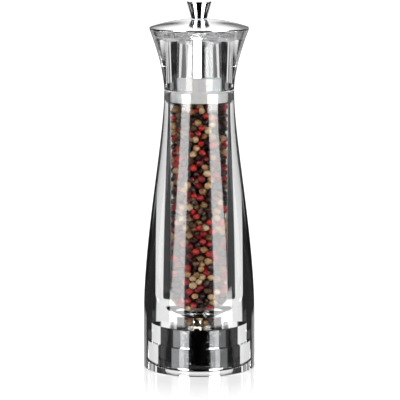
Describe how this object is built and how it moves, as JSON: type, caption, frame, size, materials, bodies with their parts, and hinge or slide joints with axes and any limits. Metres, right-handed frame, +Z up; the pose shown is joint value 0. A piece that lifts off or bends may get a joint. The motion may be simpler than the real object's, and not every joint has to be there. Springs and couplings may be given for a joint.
{
  "type": "pepper mill",
  "caption": "Tall clear mill with a waisted body of peppercorns, a flared turning head, a domed chrome cap with a grind knob, and a burr cartridge in the foot.",
  "frame": {"origin": "centre of the foot, on the plane that the mill stands on", "axes": "+Z up along the shaft, from the foot to the knob; the mill is round, so +X and +Y are any two level directions"},
  "size_m": [0.0668, 0.0668, 0.2199],
  "materials": {
    "acrylic": "polished, clear, solid",
    "chrome": "mirror polished",
    "pepper": "dry wrinkled corns in mixed colours",
    "steel": "bright drawn bar",
    "burr_steel": "hardened, dark, satin",
    "spring_steel": "bright wire",
    "zinc": "die cast, satin",
    "brass": "turned",
    "nylon": "moulded, off-white"
  },
  "bodies": {
    "mill_body": {"body": "acrylic", "peppercorns": "pepper", "grinder_collar": "chrome", "base_ring": "chrome", "stator_burr": "burr_steel", "bridge": "zinc", "bridge_screws": "steel", "base_screws": "steel", "neck_slip_ring": "nylon"},
    "shaft_bush": {"bearing_bush": "brass", "bush_circlip": "spring_steel", "burr_spring": "spring_steel"},
    "spindle": {"drive_shaft": "steel", "rotor_burr": "burr_steel", "thrust_washer": "steel", "rotor_washer": "steel", "rotor_screw": "steel"},
    "head": {"head": "acrylic", "head_cap": "chrome", "cap_plate": "chrome", "head_ferrule": "chrome", "ferrule_nut": "chrome", "drive_bush": "nylon", "drive_plate": "steel", "drive_plate_screws": "steel", "knob_washer": "nylon"},
    "knob": {"knob": "chrome", "knob_insert": "brass"}
  },
  "joints": [
    {"name": "grind_turn", "type": "hinge", "parent": "mill_body", "child": "shaft_bush", "pos_m": [0, 0, 0.023], "axis": [0, 0, 1], "continuous": true},
    {"name": "shaft_feed", "type": "slide", "parent": "shaft_bush", "child": "spindle", "axis": [0, 0, 1], "range_m": [0, 0.0012], "deforming": ["burr_spring"]},
    {"name": "head_lift", "type": "slide", "parent": "shaft_bush", "child": "head", "axis": [0, 0, 1], "range_m": [0, 0.06]},
    {"name": "knob_turn", "type": "hinge", "parent": "head", "child": "knob", "pos_m": [0, 0, 0.21], "axis": [0, 0, 1], "range_deg": [-540, 0]}
  ],
  "couplings": [
    {"joint": "knob_turn", "follows": "shaft_feed", "rad_per_m": -7853.9}
  ]
}
